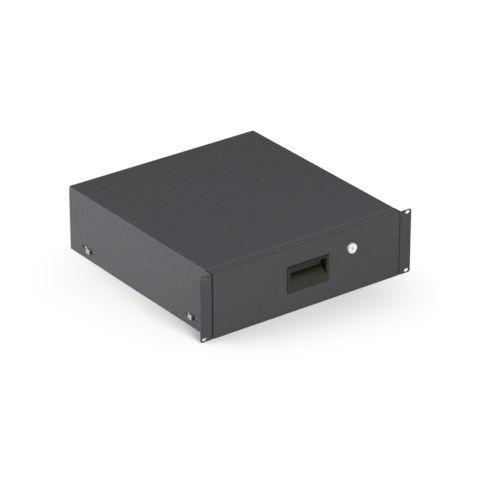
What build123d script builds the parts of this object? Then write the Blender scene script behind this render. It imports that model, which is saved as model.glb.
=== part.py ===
from build123d import *
import os

# A lockable sliding drawer for a 19-inch rack, three units high.
# Millimetres. X runs across the rack, Y from the front to the back, Z up.
# The origin is the centre of the four ear slots, on the ears' back face.

# Rack standard
rack_unit = 44.45
units_high = 3
height_allowance = 0.85      # the front is this much lower than its three units
ear_span = 482.6             # outer edge of one ear to outer edge of the other
ear_width = 24.3             # outside of the case's side to the ear's edge
slot_from_ear_edge = 8.75    # centre of an ear slot to the ear's edge
slot_from_unit_edge = 6.35   # centre of an ear slot to the edge of its unit
ear_slot_length = 10.0
ear_slot_height = 6.6
ear_corner_radius = 4.5
ear_bend_radius = 0.4        # inside radius of the fold between side and ear
ear_step = 0.6               # the ears stop this much short of the case's top and bottom

# Case: one folded sheet for top, sides and ears, a floor and a rear panel
case_depth = 460.0           # front face of the ears to the back
case_sheet = 1.5
bend_radius = 1.0            # inside radius of every fold in the case
strike_lip = 12.0            # height of the folded front edge of the top, which the lock catches
lip_side_gap = 2.5
floor_flange = 22.0          # width of the folded strips that the floor lies on
rear_flange = 12.0
relief = 1.6                 # width of the cuts that part one fold from the next
edge_gap = 0.5               # a plate's edge to a fold beside it
lap = 2.0                    # how far a folded strip runs into the sheet it grows from
past = 1.0                   # how far a cutter runs past the sheet it cuts

# Drawer front: a flat plate on a shallow folded pan
front_sheet = 1.5
front_edge_radius = 0.3
pan_sheet = 1.2
pan_bend_radius = 0.5
front_side_gap = 2.2         # plate and pan to the inside of the case's side
front_floor_gap = 0.6        # their underside above the case's underside
top_return = 17.7            # depth of the pan's top and bottom folds
side_return = 11.0
return_gap = 1.0             # rear edge of the top fold to the case's strike lip

# Drawer tray
tray_sheet = 1.2
tray_rear_gap = 28.5         # tray's end to the back of the case
tray_floor_gap = 3.75        # tray above the case's floor
tray_lip_gap = 4.25          # tray below the strike lip
tray_lip = 8.0               # width of the folded top edge of each tray wall
tray_lip_radius = 0.5

# Telescopic slides, three members a side
slide_width = 12.7
slide_axis_height = 22.6     # centre line above the case's underside
slide_setback = 22.0         # front end of the slides behind the front face
slide_rear_gap = 38.0        # rear end of the outer members to the back of the case
member_step = 12.0           # the middle and inner members are this much shorter
travel_loss = 8.0            # the drawer opens by the inner members' length less this
slide_steel = 1.2
slide_fold = 0.4             # inside radius of the members' folds
ball_radius = 1.75
ball_play = 0.05
race_depth = 0.5             # how deep a ball sits in each member
outer_half_height = 17.5
outer_ball_u = 4.9           # ball rows, measured from the case's side
inner_ball_u = 8.3
outer_flange_u = 9.4         # free edge of each member's fold, measured the same way
middle_flange_u = 11.0
inner_flange_u = 5.6
middle_web_u = 2.4
cage_steel = 0.5
outer_cage_u = 1.55
inner_cage_u = 4.15
cage_rim = 1.0               # strip left beside a ball
cage_stop = 7.0              # cage to the members' ends with the drawer open
balls_in_row = 4
bumper_length = 9.0
bumper_gap = 0.4             # bumper to the moving members
bumper_round = 2.0

# Side slots, studs and square nuts that hold the outer members
side_slot_length = 41.0
side_slot_height = 5.3
side_slot_ends = (36.0, 25.0)    # slot centres to the outer member's front and rear end
stud_ends = (39.0, 30.0)         # the same for the studs
peephole_ends = (21.5, 8.5)      # and for the round holes in the outer member
peephole_radius = 2.2
stud_radius = 2.5
stud_head_radius = 4.0
stud_proud = 1.0             # end of a stud outside its nut
nut_side = 10.6
nut_thickness = 5.2
nut_chamfer = 0.5
nut_turns = (4.0, 14.0)      # degrees that each nut is turned from level

# Tray screws, release levers and their rivets
tray_screw_ends = (24.0, 38.0)   # outermost screws to the inner member's ends
tray_screw_length = 6.0
lever_pivot_at = 92.0
lever_thickness = 1.5
lever_play = 0.3             # lever to the member behind it and to the rivet's head
lever_paddle = 26.0
lever_hook = 24.0
lever_height = 7.0
rivet_radius = 1.5
rivet_head_radius = 3.0
rivet_head = 0.8

# Pull handle: a moulded cup with a flat rim
handle_width = 96.0
handle_top = 28.4            # above the slots' centre
handle_bottom = -25.4
handle_proud = 2.0
handle_wall = 2.0
handle_corner = 1.6
grip_width = 84.0
grip_top = 23.6
grip_foot = -13.3            # where the sloping back meets the rim
grip_knee = 4.1              # where the sloping back turns upright
grip_depth = 19.5            # rim face to the upright back
grip_undercut = 1.2          # room above the grip's edge
grip_edge = 4.0              # thickness of the edge that the fingers pull
grip_round = 2.5
cut_play = 0.4               # cup to the edge of its cut-out
barb_gap = 0.1               # barb to the sheet it grips
barb_reach = 1.2
barb_length = 5.0
barb_height = 9.0

# Cam lock
lock_x = 99.6
lock_z = 25.7
lock_head_radius = 10.0
lock_head_proud = 5.4
lock_thread_radius = 9.0
lock_flats = 16.0
lock_chamfer = 0.5
lock_notch = 2.0
lock_notch_depth = 1.4
lock_notch_floor = 1.0       # flange left behind each notch
lock_notch_first = 60.0      # degrees from level of the first of four notches
plug_radius = 6.0
running_play = 0.05
keyway_width = 1.6
keyway_height = 7.0
keyway_depth = 10.0
cam_thickness = 2.0
cam_width = 16.0
cam_tip_width = 10.0
cam_catch = 4.5              # overlap of the turned cam and the strike lip
cam_play = 0.7               # cam to the lip's back face
cam_square = 8.0
cam_screw_rim = 1.5          # the screw's head covers the square by this much
lock_nut_flats = 22.0
lock_nut_thickness = 4.0
lock_washer_radius = 11.5
lock_washer_thickness = 1.0

# Screws and hidden fixings
screw_radius = 1.5
screw_play = 0.05
screw_hole_play = 0.25
pan_head_radius = 3.0
pan_head = 2.0
rear_screw_length = 7.0
floor_screw_length = 5.0
floor_screw_radius = 3.0     # flat head
floor_screw_end = 62.0       # outermost floor screws to the case's front and back
floor_screw_inset = 16.0     # from the inside of the case's side
rear_screw_inset = 77.0      # from the outside of the case's side
rear_screw_drop = 40.25      # from the case's top and underside
tray_screw_radius = 1.6
tray_head_radius = 3.4
tray_head = 2.2
front_stud_radius = 2.0
front_stud_length = 8.0
front_stud_inset = 37.8      # from the tray's side
front_stud_ends = (18.0, 23.5)   # below the tray's top and above its underside
front_nut_flats = 7.0
front_nut_thickness = 3.2

# Places worked out from the sizes above
half_span = ear_span / 2
half_width = half_span - ear_width
ear_slot_x = half_span - slot_from_ear_edge
half_height = (units_high * rack_unit - height_allowance) / 2
ear_slot_z = units_high * rack_unit / 2 - slot_from_unit_edge
wall_x = half_width - case_sheet
fold = bend_radius + case_sheet
front_y = -case_sheet
rear_y = front_y + case_depth
return_y = front_y + top_return
lip_y = return_y + return_gap
top_y = lip_y + fold
back_fold_y = rear_y - fold
lip_z = half_height - strike_lip
floor_z = -half_height + case_sheet
pan_x = wall_x - front_side_gap
pan_bottom = -half_height + front_floor_gap
pan_y = front_y + front_sheet
pan_back_y = pan_y + pan_sheet
tray_x = wall_x - slide_width
tray_bottom = floor_z + case_sheet + tray_floor_gap
tray_top = lip_z - tray_lip_gap
tray_wall_y = pan_back_y + tray_sheet
tray_end_y = rear_y - tray_rear_gap
slide_z = -half_height + slide_axis_height
slide_y = front_y + slide_setback
outer_end_y = rear_y - slide_rear_gap
slide_end_y = outer_end_y - member_step
moving_length = slide_end_y - slide_y
travel = moving_length - travel_loss
cage_y = slide_y + travel / 4 + cage_stop
cage_length = moving_length - travel / 2 - 2 * cage_stop
race_radius = ball_radius + ball_play
outer_ball_v = outer_half_height - slide_steel - race_radius
inner_ball_v = outer_ball_v - 2 * ball_radius + 2 * race_depth - slide_steel
rim_y = front_y - handle_proud
grip_back_y = rim_y + grip_depth
cup_top = grip_top + grip_undercut + handle_wall
cup_bottom = grip_foot - handle_wall
cup_x = grip_width / 2 + handle_wall
cam_y = lip_y + case_sheet + cam_play
cam_reach = lip_z - lock_z + cam_catch
side_slot_y = (slide_y + side_slot_ends[0], outer_end_y - side_slot_ends[1])
stud_y = (slide_y + stud_ends[0], outer_end_y - stud_ends[1])
peephole_y = (slide_y + peephole_ends[0], outer_end_y - peephole_ends[1])
lever_pivot_y = slide_y + lever_pivot_at


def block(x, y, z):
    """A box between two values on each axis."""
    size = [max(pair) - min(pair) for pair in (x, y, z)]
    middle = [sum(pair) / 2 for pair in (x, y, z)]
    return Pos(*middle) * Box(*size)


def rod(start, direction, radius, length):
    """A cylinder from a point along a direction."""
    bottom = (Align.CENTER, Align.CENTER, Align.MIN)
    return Plane(origin=start, z_dir=direction) * Cylinder(radius, length, align=bottom)


def prism(start, direction, flats, length, sides=6, turn=0.0):
    """A bar with flat sides from a point along a direction."""
    face = RegularPolygon(flats / 2, sides, major_radius=False, rotation=turn + 180 / sides)
    return extrude(Plane(origin=start, x_dir=(0, 0, 1), z_dir=direction) * face, length)


def along_x(face, x0, x1):
    """A face drawn on Y and Z, carried from x0 to x1."""
    return extrude(Plane.YZ.offset(x0) * face, x1 - x0)


def along_y(face, y0, y1):
    """A face drawn on X and Z, carried from y0 to y1."""
    return extrude(Plane.XZ.offset(-y1) * face, y1 - y0)


def along_z(face, z0, z1):
    """A face drawn on X and Y, carried from z0 to z1."""
    return extrude(Plane.XY.offset(z0) * face, z1 - z0)


def outline(*points):
    """A flat face inside straight edges."""
    return make_face(Polyline(*points, close=True))


def bracket(corner, leg_a, leg_b, sheet, radius):
    """The section of a folded strip: its outer corner, two signed legs and the inside radius."""
    a, b = corner
    step_a = sheet if leg_a > 0 else -sheet
    step_b = sheet if leg_b > 0 else -sheet
    inner = (a + step_a, b + step_b)
    ends = ((a + leg_a, b), (a + leg_a, b + step_b), inner, (a + step_a, b + leg_b), (a, b + leg_b))
    face = round_corner(outline(corner, *ends), corner, radius + sheet)
    return round_corner(face, inner, radius)


def round_corner(face, point, radius):
    """Rounds the corner of a section that is nearest to a point."""
    return fillet(face.vertices().sort_by_distance((*point, 0))[0], radius)


def ends_and_middle(first, last):
    """Two places and the one midway between them."""
    return (first, (first + last) / 2, last)


def both_sides(shape):
    """A shape and its mirror image on the other side of the drawer."""
    return shape + mirror(shape, Plane.YZ)


def group(shapes):
    """Separate solids that share one node."""
    return Compound(children=[solid for shape in shapes for solid in shape.solids()])


def screw(seat, direction, length, radius, head_radius, head):
    """A pan-head screw: its head stands back from the seat and its shank runs along the direction."""
    shank = rod(seat, direction, radius, length)
    back = tuple(-value for value in direction)
    cap = rod(seat, back, head_radius, head)
    top = tuple(value + head * step for value, step in zip(seat, back))
    rim = cap.edges().filter_by(GeomType.CIRCLE).sort_by_distance(top)[0]
    return shank + chamfer(rim, head / 3)


# Case shell
def wall_slots():
    """The two level slots through the right side."""
    slot = SlotOverall(side_slot_length, side_slot_height)
    return [along_x(Pos(y, slide_z) * slot, wall_x - past, half_width + past) for y in side_slot_y]


def case_shell():
    """Top, sides, ears and flanges, folded from one sheet."""
    ring = RectangleRounded(2 * half_width, 2 * half_height, fold)
    ring -= RectangleRounded(2 * wall_x, 2 * (half_height - case_sheet), bend_radius)
    shell = along_y(ring, top_y, back_fold_y)
    window = wall_x - floor_flange
    low = (-half_height - past, floor_z + past)
    shell -= block((-window, window), (top_y - past, back_fold_y + past), low)

    lip = bracket((lip_y, half_height), fold + lap, -strike_lip, case_sheet, bend_radius)
    shell += along_x(lip, -(wall_x - lip_side_gap), wall_x - lip_side_gap)
    back = bracket((rear_y, half_height), -(fold + lap), -rear_flange, case_sheet, bend_radius)
    back_x = half_width - fold - relief
    shell += along_x(back, -back_x, back_x)

    ear = bracket((wall_x, front_y), half_span - wall_x, top_y - front_y, case_sheet, ear_bend_radius)
    ear = along_z(ear, -half_height + ear_step, half_height - ear_step)
    ear = fillet(ear.edges().filter_by(Axis.Y).group_by(Axis.X)[-1], ear_corner_radius)
    side = bracket((half_width, rear_y), -rear_flange, -(fold + lap), case_sheet, bend_radius)
    side_top = half_height - rear_flange - relief
    side = along_z(side, -half_height + fold + relief, side_top)
    shell += both_sides(ear + side)

    for level in (1, -1):
        corner = (level * (half_height - fold), level * half_height)
        shell -= both_sides(block((wall_x - past, half_width + past), (top_y - relief, top_y), corner))
        slot = Pos(ear_slot_x, level * ear_slot_z) * SlotOverall(ear_slot_length, ear_slot_height)
        shell -= both_sides(along_y(slot, front_y - past, past))
    for cutter in wall_slots():
        shell -= both_sides(cutter)
    for seat in floor_screw_seats():
        shell -= floor_screw(seat, screw_play)
    for x, z, _ in rear_screw_places():
        shell -= rod((x, rear_y + past, z), (0, -1, 0), screw_radius + screw_hole_play, case_sheet + 2 * past)
    return shell


# Floor, rear panel and their screws
def floor_screw_seats():
    """Points on the case's underside where the floor is screwed."""
    x = wall_x - floor_screw_inset
    rows = ends_and_middle(front_y + floor_screw_end, rear_y - floor_screw_end)
    return [(side * x, y, -half_height) for side in (-1, 1) for y in rows]


def floor_screw(seat, play=0.0):
    """A flat-head screw, flush with the underside."""
    head = Pos(0, 0, case_sheet / 2) * Cone(floor_screw_radius + play, screw_radius + play, case_sheet)
    shank = rod((0, 0, 0), (0, 0, 1), screw_radius + play, floor_screw_length)
    return Pos(*seat) * (head + shank)


def rear_screw_places():
    """X, Z and the seat's Y of each rear screw."""
    edge_x = half_width - rear_flange / 2
    edge_z = half_height - rear_flange / 2
    low_z = floor_z + case_sheet + rear_flange / 2
    side_z = half_height - rear_screw_drop
    inner_x = half_width - rear_screw_inset
    places = [(x, z, rear_y) for x in (-edge_x, edge_x) for z in (-side_z, side_z)]
    places += [(x, edge_z, rear_y) for x in (-inner_x, inner_x)]
    places += [(x, low_z, rear_y - case_sheet) for x in (-inner_x, inner_x)]
    return places


def case_floor():
    """The plate that closes the case below, with its rear edge turned up."""
    half = wall_x - bend_radius - edge_gap
    end = rear_y - 2 * case_sheet
    fold_up = bracket((end, floor_z), -(end - top_y), rear_flange, case_sheet, bend_radius)
    floor = along_x(fold_up, -half, half)
    corner = (half - rear_flange - edge_gap, half + past)
    upper = (floor_z + fold, floor_z + rear_flange + past)
    floor -= both_sides(block(corner, (end - case_sheet, end + past), upper))
    for seat in floor_screw_seats():
        floor -= floor_screw(seat, screw_play)
    for x, z, _ in rear_screw_places():
        floor -= rod((x, end + past, z), (0, -1, 0), screw_radius + screw_play, case_sheet + 2 * past)
    return floor


def rear_panel():
    """The plate behind the rear flanges."""
    half = wall_x - bend_radius - edge_gap
    low = floor_z + edge_gap
    high = half_height - case_sheet - bend_radius - edge_gap
    panel = block((-half, half), (rear_y - 2 * case_sheet, rear_y - case_sheet), (low, high))
    for x, z, _ in rear_screw_places():
        panel -= rod((x, rear_y, z), (0, -1, 0), screw_radius + screw_play, 3 * case_sheet)
    return panel


def rear_screws():
    """Pan-head screws along the four edges of the rear."""
    return group(
        screw((x, seat, z), (0, -1, 0), rear_screw_length, screw_radius, pan_head_radius, pan_head)
        for x, z, seat in rear_screw_places()
    )


# Drawer front
def cup_opening(low_y, high_y, play):
    """The block that clears the handle's cup through the sheets."""
    x = cup_x + play
    return block((-x, x), (low_y, high_y), (cup_bottom - play, cup_top + play))


def lock_barrel(low_y, high_y, play=0.0):
    """The lock's round barrel with two flats."""
    barrel = rod((lock_x, low_y, lock_z), (0, 1, 0), lock_thread_radius + play, high_y - low_y)
    wide = lock_thread_radius + play + 1
    flat = lock_flats / 2 + play
    return barrel & block((lock_x - wide, lock_x + wide), (low_y, high_y), (lock_z - flat, lock_z + flat))


def front_holes(low_y, high_y):
    """What clears the handle's cup and the lock's barrel through a sheet."""
    low, high = low_y - past, high_y + past
    return cup_opening(low, high, cut_play) + lock_barrel(low, high, screw_hole_play)


def front_plate():
    """The painted plate that is seen from the front."""
    plate = block((-pan_x, pan_x), (front_y, pan_y), (pan_bottom, half_height))
    plate = fillet(plate.faces().sort_by(Axis.Y)[0].edges(), front_edge_radius)
    return plate - front_holes(front_y, pan_y)


def drawer_front():
    """The pan behind the plate, folded back along its four edges."""
    outer = block((-pan_x, pan_x), (pan_y, return_y), (pan_bottom, half_height))
    outer = fillet(outer.faces().sort_by(Axis.Y)[0].edges(), pan_bend_radius + pan_sheet)
    inner_x = pan_x - pan_sheet
    low = pan_bottom + pan_sheet
    high = half_height - pan_sheet
    hollow = block((-inner_x, inner_x), (pan_back_y, return_y + past), (low, high))
    hollow = fillet(hollow.faces().sort_by(Axis.Y)[0].edges(), pan_bend_radius)
    pan = outer - hollow

    short = (front_y + side_return, return_y + past)
    pan -= both_sides(block((inner_x - past, pan_x + past), short, (low + relief, high - relief)))
    deep = (pan_back_y + 2 * pan_bend_radius, return_y + past)
    for cut in ((high - relief, high), (low, low + relief)):
        pan -= both_sides(block((inner_x, pan_x + past), deep, cut))
    return pan - front_holes(pan_y, pan_back_y)


def front_stud_places():
    """Centres of the studs behind the drawer front."""
    x = tray_x - front_stud_inset
    heights = (tray_top - front_stud_ends[0], tray_bottom + front_stud_ends[1])
    return [(side * x, pan_back_y, z) for side in (-1, 1) for z in heights]


def front_studs():
    """Studs welded to the back of the drawer front."""
    return group(rod(place, (0, 1, 0), front_stud_radius, front_stud_length) for place in front_stud_places())


def front_nuts():
    """Nuts that clamp the tray to the drawer front."""
    nuts = []
    for x, _, z in front_stud_places():
        nut = prism((x, tray_wall_y, z), (0, 1, 0), front_nut_flats, front_nut_thickness)
        bore = rod((x, pan_back_y, z), (0, 1, 0), front_stud_radius + screw_play, front_stud_length)
        nuts.append(nut - bore)
    return group(nuts)


# Drawer tray
def tray_screw_y():
    """Y of the screws that hold one side of the tray."""
    return ends_and_middle(slide_y + tray_screw_ends[0], slide_end_y - tray_screw_ends[1])


def drawer_tray():
    """The folded tray with its four top edges turned in."""
    size_z = (tray_bottom, tray_top)
    outer = block((-tray_x, tray_x), (pan_back_y, tray_end_y), size_z)
    outer = fillet(outer.faces().sort_by(Axis.Z)[0].edges(), bend_radius + tray_sheet)
    inner_x = tray_x - tray_sheet
    depth = (tray_wall_y, tray_end_y - tray_sheet)
    hollow = block((-inner_x, inner_x), depth, (tray_bottom + tray_sheet, tray_top + past))
    hollow = fillet(hollow.faces().sort_by(Axis.Z)[0].edges(), bend_radius)
    tray = outer - hollow

    start = tray_wall_y + relief
    end = tray_end_y - tray_sheet - relief
    edge = (tray_top - bend_radius - tray_sheet, tray_top + past)
    side_lip = bracket((tray_x, tray_top), -tray_lip, -2 * tray_lip, tray_sheet, tray_lip_radius)
    tray -= both_sides(block((tray_x - tray_lip, tray_x + past), (start, end), edge))
    tray += both_sides(along_y(side_lip, start, end))
    end_lip = bracket((tray_end_y, tray_top), -tray_lip, -2 * tray_lip, tray_sheet, tray_lip_radius)
    end_x = inner_x - tray_lip - relief
    tray -= block((-end_x, end_x), (tray_end_y - tray_lip, tray_end_y + past), edge)
    tray += along_x(end_lip, -end_x, end_x)

    for x in (-tray_x, tray_x):
        for y in (pan_back_y, tray_end_y):
            tray -= rod((x, y, tray_bottom - past), (0, 0, 1), relief, bend_radius + tray_sheet + past)
    tray -= front_holes(pan_back_y, tray_wall_y)
    for place in front_stud_places():
        tray -= rod(place, (0, 1, 0), front_stud_radius + screw_hole_play, tray_sheet + past)
    through = tray_sheet + 2 * past
    for y in tray_screw_y():
        start = (inner_x - past, y, slide_z)
        tray -= both_sides(rod(start, (1, 0, 0), tray_screw_radius + screw_hole_play, through))
    start = (inner_x - past, lever_pivot_y, slide_z)
    return tray - both_sides(rod(start, (1, 0, 0), rivet_radius + screw_hole_play, through))


# Pull handle
def grip_profile():
    """The finger recess, seen from the side, as Y and Z."""
    edge_y = rim_y + grip_edge
    roof = grip_top + grip_undercut
    back = ((grip_back_y, grip_knee), (grip_back_y, roof))
    edge = ((edge_y, roof), (edge_y, grip_top))
    return outline((rim_y, grip_foot), *back, *edge, (rim_y, grip_top))


def pull_handle():
    """The moulded cup, its rim and the barbs that hold it in the sheets."""
    middle = (handle_top + handle_bottom) / 2
    face = Pos(0, middle) * RectangleRounded(handle_width, handle_top - handle_bottom, handle_corner)
    rim = along_y(face, rim_y, front_y)
    rim = chamfer(rim.faces().sort_by(Axis.Y)[0].edges(), handle_proud / 3)

    skin = offset(grip_profile(), handle_wall, kind=Kind.INTERSECTION)
    cup = along_x(skin, -cup_x, cup_x) & cup_opening(front_y, grip_back_y + handle_wall, 0)
    cup = fillet(cup.edges().filter_by(Axis.X).group_by(Axis.Y)[-1], grip_round)

    reach = grip_width / 2
    recess = along_x(grip_profile(), -reach, reach)
    recess = fillet(recess.edges().filter_by(Axis.X).group_by(Axis.Y)[-1], grip_round)
    handle = rim + cup - recess
    foot = handle.edges().filter_by(Axis.X).sort_by_distance((0, rim_y, grip_foot))[0]
    handle = fillet(foot, 2 * grip_round)

    start = tray_wall_y + barb_gap
    wedge = outline((cup_x, start), (cup_x + barb_reach, start), (cup_x, tray_wall_y + barb_length))
    barb = along_z(wedge, grip_top - barb_height, grip_top)
    return handle + both_sides(barb)


# Cam lock
def lock_body():
    """The barrel and its notched collar."""
    face_y = front_y - lock_head_proud
    head = rod((lock_x, face_y, lock_z), (0, 1, 0), lock_head_radius, lock_head_proud)
    head = chamfer(head.faces().sort_by(Axis.Y)[0].edges(), lock_chamfer)
    rim = (lock_head_radius - lock_notch_depth, lock_head_radius + past)
    notch = block(rim, (face_y - past, front_y - lock_notch_floor), (-lock_notch / 2, lock_notch / 2))
    for step in range(4):
        head -= Pos(lock_x, 0, lock_z) * Rot(0, -(lock_notch_first + 90 * step), 0) * notch
    body = head + lock_barrel(front_y, cam_y - running_play)
    start = (lock_x, face_y - past, lock_z)
    return body - rod(start, (0, 1, 0), plug_radius + running_play, cam_y - face_y + 2 * past)


def lock_plug():
    """The turning core with its keyway and the square that drives the cam."""
    face_y = front_y - lock_head_proud
    plug = rod((lock_x, face_y, lock_z), (0, 1, 0), plug_radius, cam_y - face_y)
    half = cam_square / 2 - running_play
    length = (cam_y, cam_y + cam_thickness)
    plug += block((lock_x - half, lock_x + half), length, (lock_z - half, lock_z + half))
    end = face_y + keyway_depth
    half_key = keyway_height / 2
    half_wide = keyway_width / 2
    depth = (face_y - past, end)
    plug -= block((lock_x - half_wide, lock_x + half_wide), depth, (lock_z - half_key, lock_z + half_key))
    plug -= block((lock_x, lock_x + keyway_width), depth, (lock_z - half_wide, lock_z + half_wide))
    start = (lock_x, cam_y + cam_thickness + past, lock_z)
    return plug - rod(start, (0, -1, 0), screw_radius + screw_play, rear_screw_length + 2 * past)


def lock_cam():
    """The flat arm behind the tray's front, level when the drawer is free to open."""
    eye = Circle(cam_width / 2)
    tip = cam_tip_width / 2
    arm = outline((0, cam_width / 2), (-cam_reach, tip), (-cam_reach, -tip), (0, -cam_width / 2))
    arm = fillet(arm.vertices().group_by(Axis.X)[0], tip / 2)
    face = eye + arm - Rectangle(cam_square, cam_square)
    return along_y(Pos(lock_x, lock_z) * face, cam_y, cam_y + cam_thickness)


def cam_screw():
    """The screw that holds the cam on the plug."""
    seat = (lock_x, cam_y + cam_thickness, lock_z)
    return screw(seat, (0, -1, 0), rear_screw_length, screw_radius, cam_square / 2 + cam_screw_rim, pan_head)


def lock_washer():
    """The ring between the tray's front and the lock's nut."""
    ring = rod((lock_x, tray_wall_y, lock_z), (0, 1, 0), lock_washer_radius, lock_washer_thickness)
    bore = rod((lock_x, pan_back_y, lock_z), (0, 1, 0), lock_thread_radius + screw_play, cam_y - pan_back_y)
    return ring - bore


def lock_nut():
    """The thin six-sided nut on the lock's barrel."""
    start = tray_wall_y + lock_washer_thickness
    nut = prism((lock_x, start, lock_z), (0, 1, 0), lock_nut_flats, lock_nut_thickness)
    bore = rod((lock_x, pan_back_y, lock_z), (0, 1, 0), lock_thread_radius + screw_play, cam_y - pan_back_y)
    return nut - bore


# Telescopic slides. A section is drawn with u, the distance from the case's
# side, and v, the height above the centre line, and carried along Y.
def section(face, y0, y1):
    """A slide section on the right-hand side, carried from y0 to y1."""
    placed = Pos(wall_x, slide_z) * mirror(face, Plane.YZ)
    return along_y(placed, y0, y1)


def plate(u0, u1, v0, v1):
    """A flat stretch of a slide section."""
    return Pos((u0 + u1) / 2, (v0 + v1) / 2) * Rectangle(u1 - u0, abs(v1 - v0))


def race(u, v, above):
    """The rolled bulge round a ball row: the half above or below the balls."""
    radius = race_radius + slide_steel
    lift = radius if above else -radius
    shift = v + ball_radius - race_depth if above else v - ball_radius + race_depth
    return Pos(u, v) * Circle(radius) & plate(u - radius, u + radius, shift, shift + lift)


def mirrored_flanges(flange):
    """A flange above the centre line and its mirror image below."""
    return flange + mirror(flange, Plane.XZ)


def outer_section():
    """The member on the case's side."""
    low = outer_ball_v + ball_radius - race_depth
    flange = plate(0, outer_flange_u, low, low + slide_steel) + race(outer_ball_u, outer_ball_v, True)
    flange -= Pos(outer_ball_u, outer_ball_v) * Circle(race_radius)
    member = plate(0, slide_steel, -low, low) + mirrored_flanges(flange)
    for side in (-1, 1):
        member = round_corner(member, (0, side * (low + slide_steel)), slide_fold + slide_steel)
        member = round_corner(member, (slide_steel, side * low), slide_fold)
    return member


def middle_section():
    """The member between the two ball cages."""
    high = outer_ball_v - ball_radius + race_depth
    flange = plate(middle_web_u, middle_flange_u, high - slide_steel, high)
    flange += race(outer_ball_u, outer_ball_v, False) + race(inner_ball_u, inner_ball_v, True)
    for u, v in ((outer_ball_u, outer_ball_v), (inner_ball_u, inner_ball_v)):
        flange -= Pos(u, v) * Circle(race_radius)
    flange &= plate(middle_web_u, slide_width, 0, outer_half_height)
    web = plate(middle_web_u, middle_web_u + slide_steel, -high, high)
    return web + mirrored_flanges(flange)


def inner_section():
    """The member on the tray's side."""
    high = inner_ball_v - ball_radius + race_depth
    flange = plate(inner_flange_u, slide_width, high - slide_steel, high)
    flange += race(inner_ball_u, inner_ball_v, False)
    flange -= Pos(inner_ball_u, inner_ball_v) * Circle(race_radius)
    inside = slide_width - slide_steel
    member = plate(inside, slide_width, -high, high) + mirrored_flanges(flange)
    for side in (-1, 1):
        member = round_corner(member, (slide_width, side * high), slide_fold + slide_steel)
        member = round_corner(member, (inside, side * (high - slide_steel)), slide_fold)
    return member


def slide_outer():
    """The fixed member, with holes for its studs and two round holes near its ends."""
    member = section(outer_section(), slide_y, outer_end_y)
    for y in stud_y:
        member -= stud(y, screw_play)
    for y in peephole_y:
        start = (wall_x + past, y, slide_z)
        member -= rod(start, (-1, 0, 0), peephole_radius, slide_steel + 2 * past)
    return member


def slide_inner():
    """The member that the tray is screwed to."""
    member = section(inner_section(), slide_y, slide_end_y)
    through = slide_steel + 2 * past
    for y in tray_screw_y():
        member -= rod((tray_x - past, y, slide_z), (1, 0, 0), tray_screw_radius + screw_play, through)
    start = (tray_x - past, lever_pivot_y, slide_z)
    return member - rod(start, (1, 0, 0), rivet_radius + screw_play, through)


def ball_places(ball_v):
    """Y and v of every ball in one cage."""
    pitch = cage_length / balls_in_row
    return [(cage_y + pitch * (step + 0.5), v) for step in range(balls_in_row) for v in (-ball_v, ball_v)]


def balls(ball_u, ball_v):
    """The loose balls of one cage."""
    return group(Pos(wall_x - ball_u, y, slide_z + v) * Sphere(ball_radius) for y, v in ball_places(ball_v))


def cage(web_u, ball_u, ball_v):
    """The thin channel that spaces the balls."""
    edge = ball_u + race_radius + cage_rim
    half = cage_steel / 2
    strip = plate(web_u, edge, ball_v - half, ball_v + half)
    web = plate(web_u, web_u + cage_steel, -ball_v, ball_v)
    channel = section(web + mirrored_flanges(strip), cage_y, cage_y + cage_length)
    for y, v in ball_places(ball_v):
        start = (wall_x - ball_u, y, slide_z + v - past)
        channel -= rod(start, (0, 0, 1), race_radius + ball_play, 2 * past)
    return channel


def stud(y, play=0.0):
    """A stud pressed flush into the outer member, out through the case's slot."""
    start = (wall_x - slide_steel, y, slide_z)
    length = slide_steel + case_sheet + nut_thickness + stud_proud
    shank = rod(start, (1, 0, 0), stud_radius + play, length)
    return shank + rod(start, (1, 0, 0), stud_head_radius + play, slide_steel / 2)


def slide_studs():
    """The two studs of one slide."""
    return group(stud(y) for y in stud_y)


def slide_nuts():
    """The two square nuts outside the case."""
    nuts = []
    for y, turn in zip(stud_y, nut_turns):
        start = (half_width, y, slide_z)
        nut = prism(start, (1, 0, 0), nut_side, nut_thickness, sides=4, turn=turn)
        nut = chamfer(nut.faces().sort_by(Axis.X)[-1].edges(), nut_chamfer)
        nuts.append(nut - rod(start, (1, 0, 0), stud_radius + screw_play, nut_thickness + past))
    return group(nuts)


def bumper():
    """The rubber block that stops the moving members at the back."""
    start = slide_end_y + bumper_gap
    width = (wall_x - outer_flange_u, wall_x - slide_steel)
    height = (slide_z - inner_ball_v, slide_z + inner_ball_v)
    body = block(width, (start, start + bumper_length), height)
    return fillet(body.edges().filter_by(Axis.X), bumper_round)


def release_lever():
    """The plastic lever in the inner member, level at rest."""
    tall = lever_height / 2
    slim = tall / 2
    under = ((-lever_paddle, -tall), (0, -tall), (lever_hook, -slim))
    over = ((lever_hook, tall), (lever_hook - tall, slim), (0, tall), (-lever_paddle, slim))
    arm = outline(*under, *over)
    arm = fillet(arm.vertices().group_by(Axis.X)[0], slim / 2)
    arm -= Circle(rivet_radius + running_play)
    start = tray_x + slide_steel + lever_play
    return along_x(Pos(lever_pivot_y, slide_z) * arm, start, start + lever_thickness)


def lever_rivet():
    """The pin that carries the lever, set in the inner member."""
    length = slide_steel + lever_thickness + 2 * lever_play
    shank = rod((tray_x, lever_pivot_y, slide_z), (1, 0, 0), rivet_radius, length)
    seat = (tray_x + length, lever_pivot_y, slide_z)
    return shank + rod(seat, (1, 0, 0), rivet_head_radius, rivet_head)


def tray_screws():
    """The screws from inside the tray into the inner member."""
    seats = [(tray_x - tray_sheet, y, slide_z) for y in tray_screw_y()]
    sizes = (tray_screw_length, tray_screw_radius, tray_head_radius, tray_head)
    return group(screw(seat, (1, 0, 0), *sizes) for seat in seats)


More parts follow.
